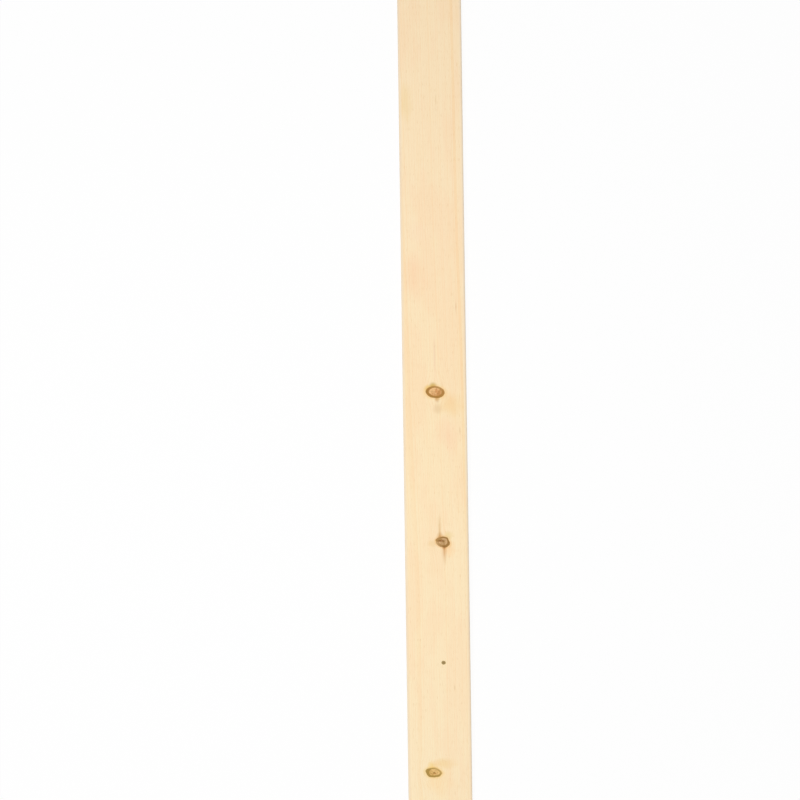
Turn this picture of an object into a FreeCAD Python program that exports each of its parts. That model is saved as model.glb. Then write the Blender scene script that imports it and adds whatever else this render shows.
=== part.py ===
import FreeCAD, Part
import Sketcher
import os

# Planed pine board, nominal 1 x 6, 8 feet long. It is sawn from one log and planed on
# four sides, so it is one solid: a rectangular section with its four long arrises eased,
# cross-cut square at both ends.
#
# Frame: the length runs along X, the width along Y and the thickness along Z. The origin
# is the middle of the lower face, which is the face that the board lies on.

SIZES = [
    # alias, millimetres, what it is
    ("board_length", 2438.4, "8 feet, cross-cut end to cross-cut end"),
    ("board_width", 139.7, "5 1/2 inches, planed edge to planed edge"),
    ("board_thickness", 19.05, "3/4 inch, planed face to planed face"),
    ("arris_radius", 3.0, "easing of the four long arrises"),
]
TOLERANCE = 1e-6  # mm, within which two lengths or directions are the same


def make_sheet(doc):
    """The driving dimensions, one row each: the name, the size and a note."""
    sheet = doc.addObject("Spreadsheet::Sheet", "Sizes")
    for row, (alias, size, note) in enumerate(SIZES, start=1):
        sheet.set(f"A{row}", alias)
        sheet.set(f"B{row}", str(size))
        sheet.set(f"C{row}", note)
        sheet.setAlias(f"B{row}", alias)
    doc.recompute()
    return sheet


def origin_plane(body, role):
    """One of the body's own origin planes, such as YZ_Plane."""
    return next(f for f in body.Origin.OriginFeatures if f.Role == role)


def draw_section(body):
    """The board's section on the YZ plane: a rectangle standing on the Y axis, with the
    Z axis through its middle."""
    sketch = body.newObject("Sketcher::SketchObject", "Section")
    sketch.AttachmentSupport = [(origin_plane(body, "YZ_Plane"), "")]
    sketch.MapMode = "FlatFace"

    # drawn at the sizes in the list; the constraints below then hold it to the sheet
    drawn = {alias: size for alias, size, note in SIZES}
    y, z = drawn["board_width"] / 2, drawn["board_thickness"]
    corners = [FreeCAD.Vector(*at, 0) for at in ((-y, 0), (y, 0), (y, z), (-y, z))]
    bottom, right, top, left = (
        sketch.addGeometry(Part.LineSegment(start, end), False)
        for start, end in zip(corners, corners[1:] + corners[:1])
    )
    start_point, end_point = 1, 2
    horizontal_axis, vertical_axis = -1, -2

    def constrain(*rule):
        return sketch.addConstraint(Sketcher.Constraint(*rule))

    for line, following in ((bottom, right), (right, top), (top, left), (left, bottom)):
        constrain("Coincident", line, end_point, following, start_point)
    constrain("Horizontal", top)
    for line in (right, left):
        constrain("Vertical", line)
    constrain("PointOnObject", bottom, start_point, horizontal_axis)
    constrain("Symmetric", bottom, start_point, bottom, end_point, vertical_axis)
    width = constrain("DistanceX", bottom, start_point, bottom, end_point, 2 * y)
    thickness = constrain("DistanceY", right, start_point, right, end_point, z)
    sketch.renameConstraint(width, "width")
    sketch.renameConstraint(thickness, "thickness")
    sketch.setExpression("Constraints.width", "Sizes.board_width")
    sketch.setExpression("Constraints.thickness", "Sizes.board_thickness")
    return sketch


def saw_to_length(body, section):
    """The section carried along X, half of the length each way from the YZ plane."""
    pad = body.newObject("PartDesign::Pad", "Length")
    pad.Profile = section
    pad.SideType = "Symmetric"
    pad.setExpression("Length", "Sizes.board_length")
    body.Document.recompute()
    return pad


def long_arrises(shape):
    """The names of the straight edges that run the whole length of the shape."""
    along_x = FreeCAD.Vector(1, 0, 0)
    return [
        f"Edge{number}"
        for number, edge in enumerate(shape.Edges, start=1)
        if edge.tangentAt(edge.FirstParameter).cross(along_x).Length < TOLERANCE
        and abs(edge.Length - shape.BoundBox.XLength) < TOLERANCE
    ]


def ease_arrises(body, pad):
    """The planer's rounding of the four long arrises."""
    fillet = body.newObject("PartDesign::Fillet", "EasedArrises")
    fillet.Base = (pad, long_arrises(pad.Shape))
    fillet.setExpression("Radius", "Sizes.arris_radius")
    body.Document.recompute()
    return fillet


def make_board(doc):
    body = doc.addObject("PartDesign::Body", "Board")
    body.Label = "board"
    pad = saw_to_length(body, draw_section(body))
    body.Tip = ease_arrises(body, pad)
    doc.recompute()
    return body


def check(doc, bodies):
    """Stops if any object failed to compute or any board isn't one valid solid."""
    for item in doc.Objects:
        if "Invalid" in item.State or "Error" in item.State:
            raise RuntimeError(f"{item.Label} did not compute: {item.State}")
    for body in bodies:
        shape = body.Shape
        if shape.isNull() or not shape.isValid() or len(shape.Solids) != 1:
            raise RuntimeError(f"{body.Label} is not one valid solid")


def write(bodies):
    os.makedirs("parts", exist_ok=True)
    for body in bodies:
        body.Shape.exportStep(f"parts/{body.Label}.step")
        box = body.Shape.BoundBox
        print(
            f"{body.Label}: {box.XLength:.2f} x {box.YLength:.2f} x {box.ZLength:.2f} mm,"
            f" {body.Shape.Volume / 1e6:.4f} litres"
        )


document = FreeCAD.newDocument("PineBoard")
make_sheet(document)
boards = [make_board(document)]
check(document, boards)
write(boards)
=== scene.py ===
import math

import bpy
import numpy as np
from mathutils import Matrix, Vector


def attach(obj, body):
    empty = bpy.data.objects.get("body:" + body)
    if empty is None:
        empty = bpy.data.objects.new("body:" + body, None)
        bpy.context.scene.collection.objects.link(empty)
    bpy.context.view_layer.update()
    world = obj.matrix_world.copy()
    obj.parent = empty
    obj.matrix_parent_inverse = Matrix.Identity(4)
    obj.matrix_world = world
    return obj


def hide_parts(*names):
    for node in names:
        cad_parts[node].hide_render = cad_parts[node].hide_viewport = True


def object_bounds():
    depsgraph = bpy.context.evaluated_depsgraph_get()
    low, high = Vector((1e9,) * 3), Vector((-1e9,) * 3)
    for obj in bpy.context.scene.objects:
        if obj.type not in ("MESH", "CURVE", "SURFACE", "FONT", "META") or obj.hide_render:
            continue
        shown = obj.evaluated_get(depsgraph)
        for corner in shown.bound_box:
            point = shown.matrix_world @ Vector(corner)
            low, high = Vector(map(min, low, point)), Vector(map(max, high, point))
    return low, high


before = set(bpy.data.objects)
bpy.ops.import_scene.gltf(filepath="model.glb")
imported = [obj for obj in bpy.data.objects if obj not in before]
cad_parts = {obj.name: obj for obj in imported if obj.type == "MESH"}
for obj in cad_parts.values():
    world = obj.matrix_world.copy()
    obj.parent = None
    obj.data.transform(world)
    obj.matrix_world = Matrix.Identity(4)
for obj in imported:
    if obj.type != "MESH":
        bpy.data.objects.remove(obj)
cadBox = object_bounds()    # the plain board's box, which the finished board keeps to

mm = 0.001              # sizes below are in millimetres, angles in degrees
low, high = (np.array(corner) / mm for corner in cadBox)
width, thickness = (high - low)[1:]

# What a user would change on the board itself.
board = {
    "arris": 3.0,           # radius of the four long arrises
    "arrisWander": 0.5,     # how far that radius strays along the board
    "cup": 0.18,            # hollow of the faces, left by drying after the planer
    "edgeBow": 0.12,        # how far the edges bow in
    "faceSteps": 68,        # mesh divisions over a face
    "arcSteps": 4,          # round one arris
    "edgeSteps": 5,         # up the flat of an edge
    "clearStep": 12.0,      # mesh spacing along clear wood
    "knotStep": 1.6,        # mesh spacing along a knot
    "knotRoom": 2.2,        # how far the fine spacing goes, in half knots
    "grainPart": 0.8,       # how far the grain parts round a knot, as a share of the knot
    "grainReach": (2.2, 1.3),   # where it closes again, along and across, in half knots
    "grainSpare": (6, 2),   # and this much further
    "mapRows": 2,           # stretches that the board is cut into on its UV map
    "mapGap": 0.004,        # space round each, as a share of the map
    "mapEnds": 0.12,        # height kept there for the two ends, as a share of a stretch
}

# The trunk: growth rings round a pith that lies below the board and off to its left, so the
# faces are cut aslant to the rings and the branches leave them as ovals across the grain.
trunk = {
    "pith": (104.0, -78.0),     # where the pith runs, across the board and up
    "pithStray": 14.0,          # how far it strays from straight
    "ring": 3.1,                # one year's growth
    "taper": 0.011,             # growth in radius for each millimetre along the trunk
    "branchRise": 0.3,          # climb of a branch along the trunk for each millimetre out
}

# Branch knots, from the far end to the near one; a later one lies over an earlier one. place is
# along and across the show face, and half is half of the oval each way. heart is the share of it
# inside the dark bark ring, and is off centre by heartAside. heartDark and barkDark point to
# each one's darker side.
knots = [
    {"name": "redKnot", "place": (17.7, -1.2), "half": (13.2, 20.3), "turn": 6,
     "waver": 0.22, "seed": 2.1,
     "heart": 0.59, "heartAside": (0.04, 0.0), "heartDark": (-0.3, -0.9), "barkDark": (-0.2, 0.2),
     "rings": 0.2, "core": 0.15, "cracks": 0.5, "raised": 0.05,
     "bark": "#AE7E34", "wood": "#F8C88B", "streak": "#CF9453", "halo": "#FCF3DC"},
    {"name": "darkKnot", "place": (-310.4, -14.0), "half": (11.7, 15.2), "turn": 10,
     "waver": 0.4, "seed": 1.1,
     "heart": 0.54, "heartAside": (0.06, -0.04), "heartDark": (-0.6, -0.3), "barkDark": (0.35, -0.85),
     "rings": 0.4, "core": 1.0, "cracks": 0.8, "raised": -0.08,
     "bark": "#A27838", "wood": "#E4BC88", "streak": "#C0965D", "halo": "#FAEFDC"},
    {"name": "darkLobe", "place": (-305.6, -4.2), "half": (3.8, 6.6), "turn": -12,
     "waver": 0.3, "seed": 2.2,
     "heart": 0.10, "heartAside": (0.0, 0.0), "heartDark": (0.0, 0.0), "barkDark": (0.0, 0.0),
     "rings": 0.1, "core": 0.5, "cracks": 0.0, "raised": -0.03,
     "bark": "#B38A4C", "wood": "#B38A4C", "streak": "#A67C3E", "halo": "#FBF1DE"},
    {"name": "pinKnot", "place": (-575, -11.3), "half": (4.1, 4.5), "turn": 0,
     "waver": 0.3, "seed": 3.1,
     "heart": 0.30, "heartAside": (0.0, 0.0), "heartDark": (0.0, 0.0), "barkDark": (0.0, 0.0),
     "rings": 0.2, "core": 0.6, "cracks": 0.5, "raised": -0.05,
     "bark": "#A38D5A", "wood": "#A38D5A", "streak": "#8A7344", "halo": "#FBF6E6"},
    {"name": "goldKnot", "place": (-815.5, 13.6), "half": (10.8, 17.8), "turn": 6,
     "waver": 0.5, "seed": 3.9,
     "heart": 0.57, "heartAside": (0.06, -0.04), "heartDark": (-0.3, 0.7), "barkDark": (-0.3, 0.3),
     "rings": 0.3, "core": 0.45, "cracks": 0.6, "raised": 0.04,
     "bark": "#B08E43", "wood": "#F8CF87", "streak": "#DDB262", "halo": "#FBF4DA"},
]

# Stains, shakes and flecks in the wood, and checks over the knots. half is half of the blob
# along, across and into the board.
stains = [
    {"name": "redTailUp", "place": (31, 3), "half": (12, 12, 8), "tint": "#DCD2A4", "fray": 0.5},
    {"name": "redShoulder", "place": (26, 13), "half": (12, 14, 7), "tint": "#F6EEC8", "fray": 0.6},
    {"name": "redTailDown", "place": (3, -5), "half": (11, 7, 8), "tint": "#E2D0BC", "fray": 0.5},
    {"name": "redStreakUp", "place": (100, -1), "half": (56, 3.5, 8), "tint": "#F9F3F3", "fray": 0.6},
    {"name": "redSmudge", "place": (-19, -6), "half": (17, 14, 6), "tint": "#F3EDE6", "fray": 0.5},
    {"name": "redWarmth", "place": (-10, -36), "half": (36, 34, 6), "tint": "#FCF3E4", "fray": 0.9},
    {"name": "darkShakeUp", "place": (-280, -6.8), "half": (42, 5.0, 9), "tint": "#F4EDE2", "fray": 0.3},
    {"name": "darkCrackUp", "place": (-292, -6.8), "half": (36, 1.2, 9), "tint": "#F1E9DB", "fray": 0.2},
    {"name": "darkThroat", "place": (-299, -7.6), "half": (14, 10, 9), "tint": "#E8D8C0", "fray": 0.3},
    {"name": "darkShakeDown", "place": (-330, -16.6), "half": (40, 7.6, 9), "tint": "#EFE4D9", "fray": 0.3},
    {"name": "darkCrackDown", "place": (-322, -16.2), "half": (28, 2.8, 9), "tint": "#EEE3D8", "fray": 0.2},
    {"name": "darkHalo", "place": (-326, -26), "half": (26, 20, 7), "tint": "#FFF4E8", "fray": 0.8},
    {"name": "darkGreen", "place": (-296, -26), "half": (12, 14, 7), "tint": "#F6F3E0", "fray": 0.8},
    {"name": "darkSide", "place": (-314, 10), "half": (11, 15, 7), "tint": "#F9F5EA", "fray": 0.8},
    {"name": "goldShade", "place": (-802, 18), "half": (15, 14, 7), "tint": "#FBF2D2", "fray": 0.8},
    {"name": "goldWarmth", "place": (-796, -10), "half": (16, 34, 7), "tint": "#FAF3E2", "fray": 0.9},
    {"name": "palePatch", "place": (366, 33), "half": (34, 30, 6), "tint": "#FFFDFF", "fray": 0.9},
    {"name": "pinkPatch", "place": (-72, -28), "half": (52, 40, 6), "tint": "#FFF8F8", "fray": 0.9},
    {"name": "tanPatch", "place": (268, 40), "half": (70, 34, 6), "tint": "#FFF7F5", "fray": 0.9},
    {"name": "goldWash", "place": (-832, 4), "half": (52, 40, 6), "tint": "#FFF8EE", "fray": 0.9},
    {"name": "farFleck", "place": (657, -11.5), "half": (20, 1.8, 5), "tint": "#F3ECDF", "fray": 0.5},
    {"name": "farDull", "place": (652, 54), "half": (60, 18, 6), "tint": "#FBF8EC", "fray": 0.9},
    {"name": "edgeFleckFar", "place": (203, -49), "half": (19, 1.8, 5), "tint": "#F3EBE3", "fray": 0.5},
    {"name": "edgeFleckNear", "place": (-67, -54), "half": (12, 1.8, 5), "tint": "#F1E9E0", "fray": 0.5},
    {"name": "nearFleck", "place": (-630, -35), "half": (9, 1.8, 5), "tint": "#EFEAE0", "fray": 0.5},
]
checks = [
    {"name": "redCheck", "place": (20, -4), "half": (9, 4.5, 9), "tint": "#E6CDB4", "fray": 0.9},
    {"name": "darkCheck", "place": (-308, -8.5), "half": (3.0, 9.0, 9), "tint": "#C8AC80", "fray": 0.5},
    {"name": "darkPoint", "place": (-323, -15.8), "half": (7.0, 5.5, 9), "tint": "#E9DAC2", "fray": 0.4},
    {"name": "goldCheck", "place": (-817, 11.5), "half": (3.4, 5.5, 9), "tint": "#CFB48A", "fray": 0.6},
]


def linear(colour):
    # an sRGB hex colour as linear red, green, blue and alpha
    parts = np.array([int(colour[i:i + 2], 16) for i in (1, 3, 5)]) / 255
    parts = np.where(parts <= 0.04045, parts / 12.92, ((parts + 0.055) / 1.055) ** 2.4)
    return (*parts.tolist(), 1.0)


def addNode(tree, kind, inputs=None, **settings):
    # one node: its settings, then each input linked to what feeds it or set to a value
    node = tree.nodes.new(kind if kind.startswith("Node") else "ShaderNode" + kind)
    for name, value in settings.items():
        setattr(node, name, value)
    for name, value in (inputs or {}).items():
        named = [s for s in node.inputs if s.name == name and s.enabled]
        socket = node.inputs[name] if isinstance(name, int) else named[0]
        if isinstance(value, bpy.types.Node):
            value = next(s for s in value.outputs if s.enabled)
        if isinstance(value, bpy.types.NodeSocket):
            tree.links.new(value, socket)
        else:
            socket.default_value = value
    return node


def branchOf(knot):
    # where the knot's branch leaves the pith, and its centre on the show face: it climbs the
    # trunk by branchRise for each millimetre between the two heights
    pithY, pithZ = trunk["pith"]
    centre = np.array((*knot["place"], thickness))
    pith = np.array((centre[0] - trunk["branchRise"] * (thickness - pithZ), pithY, pithZ))
    return pith, centre


def knotOffset(points, knot):
    # a point carried away from the branch's start until it lies on the show face, less the
    # knot's centre there; a branch is a cone, so this is the same all the way down it
    pith, centre = branchOf(knot)
    out, reach = points - pith, centre - pith
    return out * (reach[2] / out[..., 2:]) - reach


def sway(x, *waves):
    # the mean of sines of these lengths, each with its own start, between -1 and 1
    return sum(np.sin(2 * np.pi * (x / wave + 0.37 * n)) for n, wave in enumerate(waves)) / len(waves)


def stations():
    # places along the board: the spacing falls from clearStep to knotStep by a flat-topped
    # bell round each knot, and the running sum of 1 / spacing is cut into equal parts
    x = np.linspace(low[0], high[0], 20001)
    bells = [np.exp(-((x - knot["place"][0]) / (board["knotRoom"] * knot["half"][0])) ** 4) for knot in knots]
    spacing = board["clearStep"] + (board["knotStep"] - board["clearStep"]) * np.max(bells, axis=0)
    steps = np.concatenate(([0], np.cumsum(np.diff(x) / spacing[1:])))
    return np.interp(np.linspace(0, steps[-1], 2 * int(steps[-1] / 2) + 1), steps, x)


def sectionLoop():
    # the section as one closed loop of columns: show face, right edge, back, left edge, with
    # an arris between each two. across and up are the column's place between the centres of
    # the arrises, -1 to 1, and facing is the angle at which the surface faces there
    face, arc, edge = board["faceSteps"], board["arcSteps"], board["edgeSteps"]
    side = {
        "face": np.stack((1 - 2 * np.arange(face) / face, np.ones(face), np.full(face, 0.5))),
        "right": np.stack((-np.ones(edge), 1 - 2 * np.arange(edge) / edge, np.full(edge, 1.0))),
    }
    side["back"] = side["face"] * [[-1], [-1], [1]] + [[0], [0], [1]]
    side["left"] = side["right"] * [[-1], [-1], [1]] + [[0], [0], [1]]
    bend = np.arange(arc) / arc / 2
    corner = [np.stack((np.full(arc, a), np.full(arc, u), bend + turn))
              for a, u, turn in ((-1, 1, 0.5), (-1, -1, 1.0), (1, -1, 1.5), (1, 1, 2.0))]
    loop = np.concatenate((side["face"], corner[0], side["right"], corner[1],
                           side["back"], corner[2], side["left"], corner[3]), axis=1)
    return loop[0], loop[1], loop[2] * np.pi


def boardSurface(x):
    # across = place between the arrises x (half width - radius) + radius x cos(facing), and
    # up the thickness the same with sin(facing); less the edges' bow and the faces' hollow
    across, up, facing = sectionLoop()
    x = x[:, None]
    radius = board["arris"] + board["arrisWander"] * sway(x, 610, 233, 91)
    y = across * (width / 2 - radius) + radius * np.cos(facing)
    z = thickness / 2 + up * (thickness / 2 - radius) + radius * np.sin(facing)
    hollow = board["cup"] * (1 - (2 * y / width) ** 2) * (0.7 + 0.3 * sway(x, 800, 350))
    bow = board["edgeBow"] * (1 + sway(x, 1900, 730)) / 2
    points = np.stack(np.broadcast_arrays(x, y - bow * np.cos(facing), z - hollow * np.sin(facing)), -1)
    for knot in knots:
        ring = knotOffset(points, knot)[..., :2] / knot["half"]
        points[..., 2] += knot["raised"] * np.exp(-(ring ** 2).sum(-1) ** 2) * np.sin(facing) ** 3
    return points


def endSurface(loop):
    # the grid stretched between the section's four sides: each two facing sides blended, the
    # two blends added, less the plane through the corners. Returns the grid's points and the
    # column of the loop that each lies on
    face, side = board["faceSteps"], 2 * board["arcSteps"] + board["edgeSteps"]
    column = np.full((side + 1, face + 1), -1)
    column[0] = np.arange(face + 1)
    column[:, -1] = face + np.arange(side + 1)
    column[-1] = 2 * face + side - np.arange(face + 1)
    column[:, 0] = -np.arange(side + 1) % len(loop)
    u = np.linspace(0, 1, face + 1)[None, :, None]
    v = np.linspace(0, 1, side + 1)[:, None, None]
    top, bottom, left, right = loop[column[0]], loop[column[-1]], loop[column[:, 0]], loop[column[:, -1]]
    plane = (1 - v) * ((1 - u) * top[0] + u * top[-1]) + v * ((1 - u) * bottom[0] + u * bottom[-1])
    return (1 - v) * top + v * bottom + (1 - u) * left[:, None] + u * right[:, None] - plane, column


def makeBoard():
    x = stations()
    tube = boardSurface(x)
    rows, columns = tube.shape[:2]

    # the long sides: a face for each row and column, going round the loop
    row, column = (a.ravel() for a in np.mgrid[0:rows - 1, 0:columns])
    cornerRow = row[:, None] + [0, 0, 1, 1]
    cornerColumn = column[:, None] + [0, 1, 1, 0]
    faces = [cornerRow * columns + cornerColumn % columns]

    # on the UV map, stretches of the board lie one above the other, unrolled round the section
    share, gap = 1 / (board["mapRows"] + board["mapEnds"]), board["mapGap"]
    cuts = np.linspace(0, rows - 1, board["mapRows"] + 1).round().astype(int)
    stretch = (np.searchsorted(cuts, row, side="right") - 1)[:, None]
    girth = np.linalg.norm(np.diff(tube[0], axis=0, append=tube[0][:1]), axis=1)
    girth = np.append(0, np.cumsum(girth)) / girth.sum()
    longest = np.diff(x[cuts]).max()
    u = gap + (1 - 2 * gap) * (x[cornerRow] - x[cuts][stretch]) / longest
    v = share * (stretch + (1 - 4 * gap) * girth[cornerColumn]) + gap
    maps = [np.stack((u, v), -1)]

    # the two ends: the loop's own vertices round a grid of new ones
    points, made = [tube.reshape(-1, 3)], rows * columns
    for end, ringRow in enumerate((0, rows - 1)):
        grid, onLoop = endSurface(tube[ringRow])
        inside = np.zeros(onLoop.shape, bool)
        inside[1:-1, 1:-1] = True
        index = ringRow * columns + onLoop
        index[inside] = made + np.arange(inside.sum())
        made += inside.sum()
        points.append(grid[inside])
        down, over = (a.ravel() for a in np.mgrid[0:index.shape[0] - 1, 0:index.shape[1] - 1])
        down, over = down[:, None] + [0, 1, 1, 0], over[:, None] + [0, 0, 1, 1]
        if end == 1:
            down, over = down[:, ::-1], over[:, ::-1]
        faces.append(index[down, over])
        spot = grid[down, over][..., 1:] / (width, thickness) + (0.5, 0)
        size = (0.46, 2 / 3 * board["mapEnds"] * share)
        maps.append(spot * size + (0.02 + end / 2, board["mapRows"] * share + 2 * gap))

    points, faces, maps = np.concatenate(points), np.concatenate(faces), np.concatenate(maps)
    mesh = bpy.data.meshes.new("pineBoard")
    mesh.from_pydata((points * mm).tolist(), [], faces.tolist())
    mesh.uv_layers.new(name="OFBake").uv.foreach_set("vector", maps.ravel())
    mesh.polygons.foreach_set("use_smooth", np.arange(len(faces)) < (rows - 1) * columns)

    # how far the grain has parted round the knots, as a sideways shift: in proportion to the
    # distance off the knot's centre line, dying away as a bell that is longest along the board
    aside = np.zeros(len(points))
    for knot in knots:
        offset = knotOffset(points, knot)[:, :2]
        reach = np.array(knot["half"]) * board["grainReach"] + board["grainSpare"]
        aside -= board["grainPart"] * offset[:, 1] * np.exp(-((offset / reach) ** 2).sum(1))
    mesh.attributes.new("grainAside", "FLOAT", "POINT").data.foreach_set("value", aside)

    piece = bpy.data.objects.new("pineBoard", mesh)
    bpy.context.scene.collection.objects.link(piece)
    print(f"board: {rows} rows of {columns} columns, {len(faces)} faces")
    return piece


def openGroup(name, inputs, outputs):
    # an empty node group with these sockets: the group, and what it is given
    group = bpy.data.node_groups.new(name, "ShaderNodeTree")
    for direction, sockets in (("INPUT", inputs), ("OUTPUT", outputs)):
        for socket, kind in sockets.items():
            group.interface.new_socket(name=socket, in_out=direction, socket_type="NodeSocket" + kind)
    return group, addNode(group, "NodeGroupInput").outputs


# What a user would change in every knot. Widths are shares of half the oval.
knotWood = {
    "barkWidth": 0.14,          # over which the bark ring comes in
    "ringTurn": 19.0,           # radians from the middle to the edge: three of the branch's own years
    "coreWidth": 0.45,          # of the dark middle
    "crackWidth": 0.012,
    "crackReach": (0.45, 0.75), # where the cracks fade, out from the middle
    "soaked": 1.5,              # how far out the resin has soaked
    "crack": "#B09878",         # what a crack multiplies the wood by
    "mottle": "#E2D8CB",        # and the patches of denser wood
}


def makeKnotGroup():
    group, given = openGroup(
        "branchKnot",
        {"Colour": "Color", "Place": "Vector", "Pith": "Vector", "Reach": "Vector", "Half": "Vector",
         "Turn": "Float", "Waver": "Vector", "Seed": "Float", "Heart": "Float", "Heart Aside": "Vector",
         "Heart Dark": "Vector", "Bark Dark": "Vector", "Rings": "Float", "Core": "Float", "Cracks": "Float",
         "Bark": "Color", "Wood": "Color", "Streak": "Color", "Halo": "Color"},
        {"Colour": "Color", "Mask": "Float"})

    # carried up the branch to the show face, then turned and sized to the oval
    out = addNode(group, "VectorMath", {0: given["Place"], 1: given["Pith"]}, operation="SUBTRACT")
    outUp = addNode(group, "SeparateXYZ", {0: out}).outputs["Z"]
    reachUp = addNode(group, "SeparateXYZ", {0: given["Reach"]}).outputs["Z"]
    growth = addNode(group, "Math", {0: reachUp, 1: outUp}, operation="DIVIDE")
    carried = addNode(group, "VectorMath", {0: out, "Scale": growth}, operation="SCALE")
    offset = addNode(group, "VectorMath", {0: carried, 1: given["Reach"]}, operation="SUBTRACT")
    turned = addNode(group, "VectorRotate", {"Vector": offset, "Angle": given["Turn"]},
                     rotation_type="Z_AXIS")
    oval = addNode(group, "VectorMath", {0: turned, 1: given["Half"]}, operation="DIVIDE")

    # the outline wavers
    waver = addNode(group, "TexNoise", {"Vector": oval, "W": given["Seed"], "Scale": 1.1, "Detail": 2.0},
                    noise_dimensions="4D").outputs["Color"]
    waver = addNode(group, "VectorMath", {0: waver, 1: (0.5, 0.5, 0.5)}, operation="SUBTRACT")
    outline = addNode(group, "VectorMath", {0: waver, 1: given["Waver"], 2: oval}, operation="MULTIPLY_ADD")
    fromMiddle = addNode(group, "VectorMath", {0: outline}, operation="LENGTH").outputs["Value"]
    inner = addNode(group, "VectorMath", {0: outline, 1: given["Heart Aside"]}, operation="SUBTRACT")
    fromHeart = addNode(group, "VectorMath", {0: inner}, operation="LENGTH").outputs["Value"]

    # heartwood with a darker streak through it, crossed by the branch's own growth rings
    slant = addNode(group, "VectorMath", {0: oval, 1: (0.5, 1.9, 1.0)}, operation="MULTIPLY")
    cloud = addNode(group, "TexNoise", {"Vector": slant, "W": given["Seed"], "Scale": 1.3, "Detail": 3.0},
                    noise_dimensions="4D")
    heartSide = addNode(group, "VectorMath", {0: oval, 1: given["Heart Dark"]}, operation="DOT_PRODUCT")
    cloud = addNode(group, "Math", {0: heartSide, 1: 0.25, 2: cloud}, operation="MULTIPLY_ADD")
    streaked = addNode(group, "MapRange", {"Value": cloud, "From Min": 0.42, "From Max": 0.68},
                       interpolation_type="SMOOTHSTEP")
    heart = addNode(group, "Mix", {"Factor": streaked, "A": given["Wood"], "B": given["Streak"]},
                    data_type="RGBA")
    phase = addNode(group, "Math", {0: fromHeart, 1: knotWood["ringTurn"]}, operation="MULTIPLY")
    wave = addNode(group, "Math", {0: phase}, operation="SINE")
    ringed = addNode(group, "MapRange", {"Value": wave, "From Min": -0.2, "From Max": 1.0,
                                         "To Max": given["Rings"]}, interpolation_type="SMOOTHSTEP")
    heart = addNode(group, "Mix", {"Factor": ringed, "A": heart, "B": given["Bark"]}, data_type="RGBA")

    # the dark middle, the bark ring, and the resin that has soaked out round it
    coreSize = addNode(group, "Math", {0: given["Core"], 1: knotWood["coreWidth"]}, operation="MULTIPLY")
    cored = addNode(group, "MapRange", {"Value": fromHeart, "From Min": 0.05, "From Max": coreSize,
                                        "To Min": given["Core"], "To Max": 0.0},
                    interpolation_type="SMOOTHSTEP")
    heart = addNode(group, "Mix", {"Factor": cored, "A": heart, "B": given["Bark"]}, data_type="RGBA")
    barkIn = addNode(group, "Math", {0: given["Heart"], 1: knotWood["barkWidth"]}, operation="ADD")
    barked = addNode(group, "MapRange", {"Value": fromHeart, "From Min": given["Heart"], "From Max": barkIn},
                     interpolation_type="SMOOTHSTEP")
    barkSide = addNode(group, "VectorMath", {0: oval, 1: given["Bark Dark"]}, operation="DOT_PRODUCT")
    thin = addNode(group, "MapRange", {"Value": barkSide.outputs["Value"], "From Min": -0.7, "From Max": 0.1,
                                       "To Min": 0.35, "To Max": 1.0}, interpolation_type="SMOOTHSTEP")
    barked = addNode(group, "Math", {0: barked, 1: thin}, operation="MULTIPLY")
    body = addNode(group, "Mix", {"Factor": barked, "A": heart, "B": given["Bark"]}, data_type="RGBA")
    soaked = addNode(group, "MapRange", {"Value": fromMiddle, "From Min": 1.0, "From Max": knotWood["soaked"],
                                         "To Min": 1.0, "To Max": 0.0}, interpolation_type="SMOOTHSTEP")
    around = addNode(group, "Mix", {"Factor": soaked, "A": given["Colour"], "B": given["Halo"]},
                     data_type="RGBA", blend_type="MULTIPLY")
    mask = addNode(group, "MapRange", {"Value": fromMiddle, "From Min": 0.96, "From Max": 1.05, "To Min": 1.0,
                                       "To Max": 0.0}, interpolation_type="SMOOTHSTEP")

    # cracks that run out from the middle, and the mottling of hard, short-fibred wood
    direction = addNode(group, "VectorMath", {0: inner}, operation="NORMALIZE")
    spoke = addNode(group, "TexNoise", {"Vector": direction, "W": given["Seed"], "Scale": 2.6, "Detail": 2.0},
                    noise_dimensions="4D")
    spoke = addNode(group, "Math", {0: spoke, 1: 0.5, 2: knotWood["crackWidth"]}, operation="COMPARE")
    fadeFrom, fadeTo = knotWood["crackReach"]
    reached = addNode(group, "MapRange", {"Value": fromHeart, "From Min": fadeFrom, "From Max": fadeTo,
                                          "To Min": given["Cracks"], "To Max": 0.0})
    cracked = addNode(group, "Math", {0: spoke, 1: reached}, operation="MULTIPLY")
    body = addNode(group, "Mix", {"Factor": cracked, "A": body, "B": linear(knotWood["crack"])},
                   data_type="RGBA", blend_type="MULTIPLY")
    mottled = addNode(group, "TexNoise", {"Vector": offset, "Scale": 0.7, "Detail": 4.0, "Roughness": 0.65})
    mottled = addNode(group, "MapRange", {"Value": mottled, "From Min": 0.38, "From Max": 0.72})
    body = addNode(group, "Mix", {"Factor": mottled, "A": body, "B": linear(knotWood["mottle"])},
                   data_type="RGBA", blend_type="MULTIPLY")
    shown = addNode(group, "Mix", {"Factor": mask, "A": around, "B": body}, data_type="RGBA")
    addNode(group, "NodeGroupOutput", {"Colour": shown, "Mask": mask})
    return group


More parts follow.
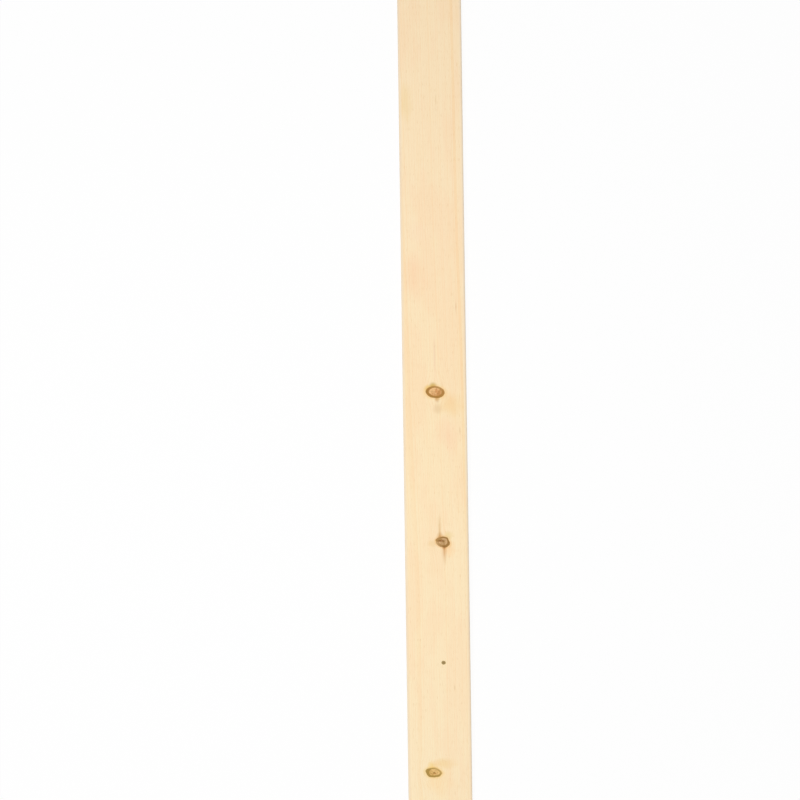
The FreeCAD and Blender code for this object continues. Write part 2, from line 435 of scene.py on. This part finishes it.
def makeMarkGroup():
    # an egg of tinted wood with a frayed edge
    group, given = openGroup(
        "woodMark",
        {"Colour": "Color", "Place": "Vector", "Centre": "Vector", "Half": "Vector", "Tint": "Color",
         "Fray": "Float"},
        {"Colour": "Color"})
    offset = addNode(group, "VectorMath", {0: given["Place"], 1: given["Centre"]}, operation="SUBTRACT")
    egg = addNode(group, "VectorMath", {0: offset, 1: given["Half"]}, operation="DIVIDE")
    distance = addNode(group, "VectorMath", {0: egg}, operation="LENGTH").outputs["Value"]
    fray = addNode(group, "TexNoise", {"Vector": egg, "Scale": 1.4, "Detail": 2.0})
    fray = addNode(group, "Math", {0: fray, 1: 0.5}, operation="SUBTRACT")
    distance = addNode(group, "Math", {0: fray, 1: given["Fray"], 2: distance}, operation="MULTIPLY_ADD")
    mask = addNode(group, "MapRange", {"Value": distance, "From Min": 0.15, "From Max": 1.0, "To Min": 1.0,
                                       "To Max": 0.0}, interpolation_type="SMOOTHSTEP")
    shown = addNode(group, "Mix", {"Factor": mask, "A": given["Colour"], "B": given["Tint"]},
                    data_type="RGBA", blend_type="MULTIPLY")
    addNode(group, "NodeGroupOutput", {"Colour": shown})
    return group


# What a user would change in the wood. Each colour after the ramp multiplies what is under it.
pine = {
    "ramp": ((0.15, "#FDEAC6"), (0.5, "#FCE7C1"), (0.66, "#FDE7C3")),   # from the near end to the far one
    "lateWood": "#FEF8EF",
    "summer": (0.45, 0.92),     # when in the year the late wood darkens
    "winter": (0.93, 1.0),      # and stops
    "unevenYears": 4.0,         # how far the years' widths stray
    "weather": (0.3, 1.2),      # strength of the late wood in the driest year and the wettest
    "blush": "#FFFBFA",
    "blushSize": (130, 34),     # along and across
    "fibre": 0.45,              # width of a bundle of fibres
    "fibreLength": 50,          # in widths
    "fibreTint": "#FDF8F0",
    "canal": "#EDDFC8",         # resin canals, drawn twice as wide as the real 0.2 mm
    "canalSize": (14, 0.45),
    "endGrain": "#EDDDC4",      # the sawn ends
    "endRing": "#E9D6B6",       # late wood on the ends, where it shows its full depth
    "toothMark": "#EFE6DA",     # lines left by the saw on the ends
    "toothTurn": 2.2,           # radians for each millimetre, which sets them 3 mm apart
    "sawnDepth": (0.3, 0.1),    # where the ends' look comes in, back from the cut
    "arris": "#E9DCC9",         # greyer, darker colour along the arrises, laid over the rest: painted shade of the rounded edges, partly greyer wood there
    "arrisShadeAndWear": 0.4,
    "arrisAcross": (7.5, 2),    # where the painted shade and wear come in, from the edge
    "arrisUp": (5, 1.5),        # and from the face
    "satin": 0.62,              # roughness of the faces
    "resin": 0.5,               # of the knots
    "dull": 0.85,               # and of the ends
    "lateRelief": 0.02,         # heights in millimetres
    "fibreRelief": 0.05,
    "toothRelief": -0.12,
}


def planedPine(knotGroup, markGroup):
    # White pine, planed and left bare: pale early wood with faint amber late wood, dry and
    # satin on the faces, duller and darker on the ends where the saw crossed the grain.
    material = bpy.data.materials.new("planedPine")
    material.use_nodes = True
    tree = material.node_tree
    tree.nodes.clear()

    objectPlace = addNode(tree, "TexCoord").outputs["Object"]
    place = addNode(tree, "VectorMath", {0: objectPlace, "Scale": 1 / mm}, operation="SCALE")
    along = addNode(tree, "SeparateXYZ", {0: place}).outputs["X"]
    aside = addNode(tree, "Attribute", attribute_name="grainAside").outputs["Fac"]
    aside = addNode(tree, "CombineXYZ", {"Y": aside})
    grain = addNode(tree, "VectorMath", {0: place, 1: aside}, operation="ADD")

    # years = distance from the straying pith, with the trunk's taper, over one year's growth
    slow = addNode(tree, "VectorMath", {0: grain, 1: (1 / 900, 0, 0)}, operation="MULTIPLY")
    stray = addNode(tree, "TexNoise", {"Vector": slow, "Scale": 1.0, "Detail": 1.0}).outputs["Color"]
    stray = addNode(tree, "VectorMath", {0: stray, 1: (0.5, 0.5, 0.5)}, operation="SUBTRACT")
    pithY, pithZ = trunk["pith"]
    radial = addNode(tree, "VectorMath", {0: grain, 1: (0, 1, 1), 2: (0, -pithY, -pithZ)},
                     operation="MULTIPLY_ADD")
    straying = (0, trunk["pithStray"], trunk["pithStray"])
    radial = addNode(tree, "VectorMath", {0: stray, 1: straying, 2: radial}, operation="MULTIPLY_ADD")
    radius = addNode(tree, "VectorMath", {0: radial}, operation="LENGTH").outputs["Value"]
    radius = addNode(tree, "Math", {0: along, 1: trunk["taper"], 2: radius}, operation="MULTIPLY_ADD")
    years = addNode(tree, "Math", {0: radius, 1: trunk["ring"]}, operation="DIVIDE")
    uneven = addNode(tree, "TexNoise", {"W": years, "Scale": 0.23, "Detail": 1.0}, noise_dimensions="1D")
    years = addNode(tree, "Math", {0: uneven, 1: pine["unevenYears"], 2: years}, operation="MULTIPLY_ADD")
    season = addNode(tree, "Math", {0: years}, operation="FRACT")
    starts, ends = pine["summer"]
    summer = addNode(tree, "MapRange", {"Value": season, "From Min": starts, "From Max": ends},
                     interpolation_type="SMOOTHSTEP")
    starts, ends = pine["winter"]
    winter = addNode(tree, "MapRange", {"Value": season, "From Min": starts, "From Max": ends,
                                        "To Min": 1.0, "To Max": 0.0}, interpolation_type="SMOOTHSTEP")
    late = addNode(tree, "Math", {0: summer, 1: winter}, operation="MULTIPLY")

    # a dry summer leaves a fainter line than a wet one
    year = addNode(tree, "Math", {0: years}, operation="FLOOR")
    weather = addNode(tree, "TexWhiteNoise", {"W": year}, noise_dimensions="1D").outputs["Value"]
    driest, wettest = pine["weather"]
    weather = addNode(tree, "MapRange", {"Value": weather, "To Min": driest, "To Max": wettest})
    late = addNode(tree, "Math", {0: late, 1: weather}, operation="MULTIPLY")

    # the slow change of colour from end to end, and the late wood on it
    fromEnd = addNode(tree, "MapRange", {"Value": along, "From Min": low[0], "From Max": high[0]})
    drift = addNode(tree, "ValToRGB", {"Fac": fromEnd})
    drift.color_ramp.elements.new(0.5)
    for stop, (position, colour) in zip(drift.color_ramp.elements, pine["ramp"]):
        stop.position, stop.color = position, linear(colour)
    colour = addNode(tree, "Mix", {"Factor": late, "A": drift, "B": linear(pine["lateWood"])},
                     data_type="RGBA", blend_type="MULTIPLY")

    # pinker patches, long along the grain
    perAlong, perAcross = (1 / size for size in pine["blushSize"])
    long = addNode(tree, "VectorMath", {0: place, 1: (perAlong, perAcross, perAcross)}, operation="MULTIPLY")
    patchy = addNode(tree, "TexNoise", {"Vector": long, "Scale": 1.0, "Detail": 2.0})
    patchy = addNode(tree, "MapRange", {"Value": patchy, "From Min": 0.42, "From Max": 0.62},
                     interpolation_type="SMOOTHSTEP")
    colour = addNode(tree, "Mix", {"Factor": patchy, "A": colour, "B": linear(pine["blush"])},
                     data_type="RGBA", blend_type="MULTIPLY")

    # bundles of fibres
    perAcross = 1 / pine["fibre"]
    fine = addNode(tree, "VectorMath", {0: grain, 1: (perAcross / pine["fibreLength"], perAcross, perAcross)},
                   operation="MULTIPLY")
    fibre = addNode(tree, "TexNoise", {"Vector": fine, "Scale": 1.0, "Detail": 3.0, "Roughness": 0.6})
    fibred = addNode(tree, "MapRange", {"Value": fibre, "From Min": 0.35, "From Max": 0.7})
    colour = addNode(tree, "Mix", {"Factor": fibred, "A": colour, "B": linear(pine["fibreTint"])},
                     data_type="RGBA", blend_type="MULTIPLY")

    # resin canals, short thin lines of amber along the grain, mostly in the late wood
    perAlong, perAcross = (1 / size for size in pine["canalSize"])
    drawn = addNode(tree, "VectorMath", {0: grain, 1: (perAlong, perAcross, perAcross)}, operation="MULTIPLY")
    canal = addNode(tree, "TexNoise", {"Vector": drawn, "Scale": 1.0, "Detail": 0.0})
    canal = addNode(tree, "MapRange", {"Value": canal, "From Min": 0.73, "From Max": 0.79})
    colour = addNode(tree, "Mix", {"Factor": canal, "A": colour, "B": linear(pine["canal"])},
                     data_type="RGBA", blend_type="MULTIPLY")

    # stains in the wood, the knots over them, and checks over the knots
    masks = None
    for layer in (*stains, *knots, *checks):
        if "tint" in layer:
            colour = addNode(tree, "Group", node_tree=markGroup, label=layer["name"], inputs={
                "Colour": colour, "Place": place, "Centre": (*layer["place"], thickness),
                "Half": layer["half"], "Tint": linear(layer["tint"]), "Fray": layer["fray"]})
            continue
        pith, centre = branchOf(layer)
        knot = addNode(tree, "Group", node_tree=knotGroup, label=layer["name"], inputs={
            "Colour": colour, "Place": place, "Pith": pith, "Reach": centre - pith,
            "Half": (*layer["half"], 1.0), "Turn": math.radians(layer["turn"]),
            "Waver": (layer["waver"], layer["waver"], 0), "Seed": layer["seed"],
            "Heart": layer["heart"], "Heart Aside": (*layer["heartAside"], 0),
            "Heart Dark": (*layer["heartDark"], 0), "Bark Dark": (*layer["barkDark"], 0),
            "Rings": layer["rings"], "Core": layer["core"], "Cracks": layer["cracks"],
            "Bark": linear(layer["bark"]), "Wood": linear(layer["wood"]), "Streak": linear(layer["streak"]),
            "Halo": linear(layer["halo"])})
        colour, mask = knot.outputs["Colour"], knot.outputs["Mask"]
        masks = mask if masks is None else addNode(tree, "Math", {0: masks, 1: mask}, operation="MAXIMUM")

    # the arrises, greyer and darker: painted shade where the rounded edges turn from the light, partly grey
    # from handling; the flat of the edge stays clean
    middle = addNode(tree, "VectorMath", {0: place, 1: (0, 0, thickness / 2)}, operation="SUBTRACT")
    middle = addNode(tree, "VectorMath", {0: middle}, operation="ABSOLUTE")
    middle = addNode(tree, "SeparateXYZ", {0: middle}).outputs
    starts, ends = (width / 2 - inward for inward in pine["arrisAcross"])
    nearEdge = addNode(tree, "MapRange", {"Value": middle["Y"], "From Min": starts, "From Max": ends},
                       interpolation_type="SMOOTHSTEP")
    starts, ends = (thickness / 2 - inward for inward in pine["arrisUp"])
    nearFace = addNode(tree, "MapRange", {"Value": middle["Z"], "From Min": starts, "From Max": ends},
                       interpolation_type="SMOOTHSTEP")
    edgeShadeAndWear = addNode(tree, "Math", {0: nearEdge, 1: nearFace}, operation="MULTIPLY")
    edgeShadeAndWear = addNode(tree, "Math", {0: edgeShadeAndWear, 1: pine["arrisShadeAndWear"]}, operation="MULTIPLY")
    colour = addNode(tree, "Mix", {"Factor": edgeShadeAndWear, "A": colour, "B": linear(pine["arris"])}, data_type="RGBA")

    # the ends, where the saw crossed the fibres
    distance = addNode(tree, "Math", {0: along}, operation="ABSOLUTE")
    starts, ends = (high[0] - inward for inward in pine["sawnDepth"])
    sawn = addNode(tree, "MapRange", {"Value": distance, "From Min": starts, "From Max": ends})
    colour = addNode(tree, "Mix", {"Factor": sawn, "A": colour, "B": linear(pine["endGrain"])},
                     data_type="RGBA", blend_type="MULTIPLY")

    # marks left by the saw's teeth, across each end
    stroke = addNode(tree, "TexNoise", {"Vector": place, "Scale": 1.0, "Detail": 2.0})
    tooth = addNode(tree, "VectorMath", {0: place, 1: (0, 0.9, 0.12)}, operation="DOT_PRODUCT")
    tooth = addNode(tree, "Math", {0: stroke, 1: 0.8, 2: tooth.outputs["Value"]}, operation="MULTIPLY_ADD")
    tooth = addNode(tree, "Math", {0: tooth, 1: pine["toothTurn"]}, operation="MULTIPLY")
    tooth = addNode(tree, "Math", {0: tooth}, operation="SINE")
    toothed = addNode(tree, "MapRange", {"Value": tooth, "From Min": 0.2, "From Max": 1.0, "To Max": 0.6})
    toothed = addNode(tree, "Math", {0: toothed, 1: sawn}, operation="MULTIPLY")
    ringed = addNode(tree, "Math", {0: late, 1: sawn}, operation="MULTIPLY")
    for factor, tint in ((toothed, "toothMark"), (ringed, "endRing")):
        colour = addNode(tree, "Mix", {"Factor": factor, "A": colour, "B": linear(pine[tint])},
                         data_type="RGBA", blend_type="MULTIPLY")

    # satin on the faces, glossier on resinous knots, dull on the ends
    rough = addNode(tree, "MapRange", {"Value": masks, "To Min": pine["satin"], "To Max": pine["resin"]})
    rough = addNode(tree, "Mix", {"Factor": sawn, "A": rough, "B": pine["dull"]}, data_type="FLOAT")

    # relief in millimetres: raised late wood and fibres, and the saw's scratches
    relief = addNode(tree, "Math", {0: late, 1: pine["lateRelief"]}, operation="MULTIPLY")
    for part, height in ((fibre, "fibreRelief"), (toothed, "toothRelief")):
        relief = addNode(tree, "Math", {0: part, 1: pine[height], 2: relief}, operation="MULTIPLY_ADD")
    bump = addNode(tree, "Bump", {"Height": relief, "Distance": mm, "Strength": 1.0})

    shader = addNode(tree, "BsdfPrincipled", {"Base Color": colour, "Roughness": rough, "Normal": bump,
                                              "IOR": 1.5, "Specular IOR Level": 0.2})
    addNode(tree, "OutputMaterial", {"Surface": shader})
    return material


# What a user would change in the room.
room = {
    "floorSize": 40000,
    "floorWhite": "#F7F7F7",
    "floorGlow": 0.92,      # how much of the floor's white the camera sees unshaded
    "sky": 0.45,            # light from all round
    "lamp": 86,             # watts
    "lampSize": 2200,
    "lampPlace": (-250, 850, 3650),
}


def seenDirectly(tree):
    # 1 for the camera, and for what it sees in or through a surface; 0 for the light on the board
    path = addNode(tree, "LightPath").outputs
    seen = addNode(tree, "Math", {0: path["Is Camera Ray"], 1: path["Is Glossy Ray"]}, operation="MAXIMUM")
    return addNode(tree, "Math", {0: seen, 1: path["Is Transmission Ray"]}, operation="MAXIMUM")


def makeRoom():
    half = room["floorSize"] / 2 * mm
    mesh = bpy.data.meshes.new("floor")
    corners = [(-half, -half, 0), (half, -half, 0), (half, half, 0), (-half, half, 0)]
    mesh.from_pydata(corners, [], [(0, 1, 2, 3)])
    floor = bpy.data.objects.new("floor", mesh)
    bpy.context.scene.collection.objects.link(floor)

    material = bpy.data.materials.new("whitePaper")
    material.use_nodes = True
    tree = material.node_tree
    tree.nodes.clear()
    glow = addNode(tree, "Math", {0: seenDirectly(tree), 1: room["floorGlow"]}, operation="MULTIPLY")
    paper = addNode(tree, "BsdfDiffuse", {"Color": linear(room["floorWhite"])})
    white = addNode(tree, "Emission", {"Color": linear("#FFFFFF"), "Strength": 1.0})
    shown = addNode(tree, "MixShader", {0: glow, 1: paper, 2: white})
    addNode(tree, "OutputMaterial", {"Surface": shown})
    mesh.materials.append(material)

    world = bpy.data.worlds.new("studio")
    world.use_nodes = True
    bpy.context.scene.world = world
    tree = world.node_tree
    tree.nodes.clear()
    strength = addNode(tree, "MapRange", {"Value": seenDirectly(tree), "To Min": room["sky"], "To Max": 1.0})
    sky = addNode(tree, "Background", {"Color": (1, 1, 1, 1), "Strength": strength})
    addNode(tree, "OutputWorld", {"Surface": sky})

    lamp = bpy.data.lights.new("softbox", "AREA")
    lamp.shape, lamp.size, lamp.energy = "SQUARE", room["lampSize"] * mm, room["lamp"]
    softbox = bpy.data.objects.new("softbox", lamp)
    softbox.location = np.array(room["lampPlace"]) * mm
    softbox.rotation_euler = (-softbox.location).to_track_quat("-Z", "Y").to_euler()
    bpy.context.scene.collection.objects.link(softbox)
    print("room ready")


# What a user would change in the view: straight down on the board, its length up the view.
view = {
    "lens": 200,            # millimetres, on a 36 mm sensor
    "across": 1752,         # how much of the show face's level the view takes in
    "lean": 0.82,           # the board leans to the left
    "aim": (1.6, 76.1),     # what is at the middle of the view, along and across
}


def makeCamera():
    camera = bpy.data.cameras.new("camera")
    camera.lens, camera.sensor_width = view["lens"], 36
    camera.clip_end = 100
    eye = bpy.data.objects.new("camera", camera)
    rise = view["across"] * view["lens"] / camera.sensor_width
    eye.location = np.array((*view["aim"], thickness + rise)) * mm
    eye.rotation_euler = (0, 0, math.radians(-90 - view["lean"]))
    bpy.context.scene.collection.objects.link(eye)
    bpy.context.scene.camera = eye


piece = makeBoard()
piece.data.materials.append(planedPine(makeKnotGroup(), makeMarkGroup()))
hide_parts("board")
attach(piece, "root")
makeRoom()
makeCamera()
bpy.context.scene.view_settings.view_transform = "Standard"

print("scene ready")
